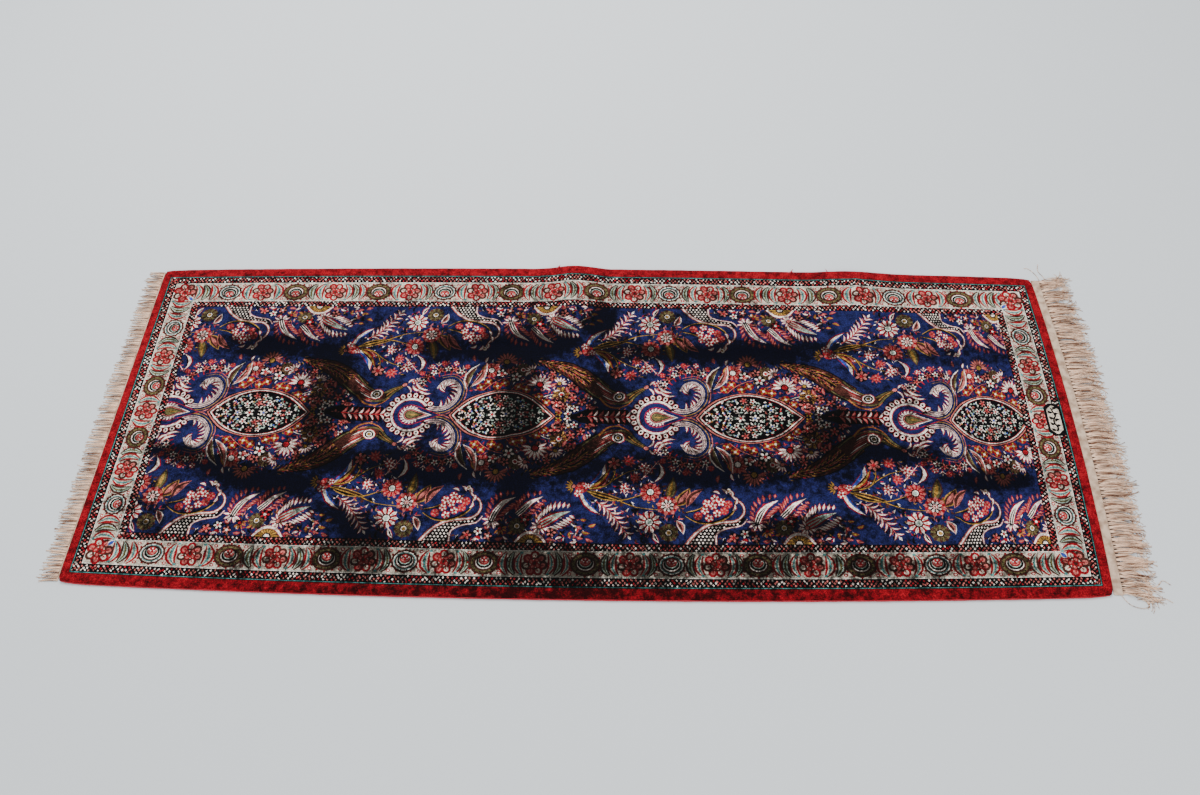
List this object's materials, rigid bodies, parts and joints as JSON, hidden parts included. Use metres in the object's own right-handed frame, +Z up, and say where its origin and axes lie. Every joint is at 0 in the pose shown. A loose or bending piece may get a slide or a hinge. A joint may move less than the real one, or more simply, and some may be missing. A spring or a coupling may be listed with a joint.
{
  "type": "persian rug",
  "caption": "Long, narrow Persian pile rug with a floral border and a dark field of flowers, birds and cypresses, lying in soft folds, fringed at both ends.",
  "frame": {"origin": "on the floor, on the flat underside at the middle of the rug", "axes": "+X along the rug, towards the end with the longer fringe; +Y across it; +Z up, out of the pile"},
  "size_m": [2.1571, 0.7912, 0.0175],
  "materials": {
    "pile": "short knotted pile with a soft sheen",
    "warp": "matt twisted warp ends"
  },
  "bodies": {
    "root": {"rug": "pile", "left_fringe": "warp", "right_fringe": "warp"}
  },
  "joints": []
}
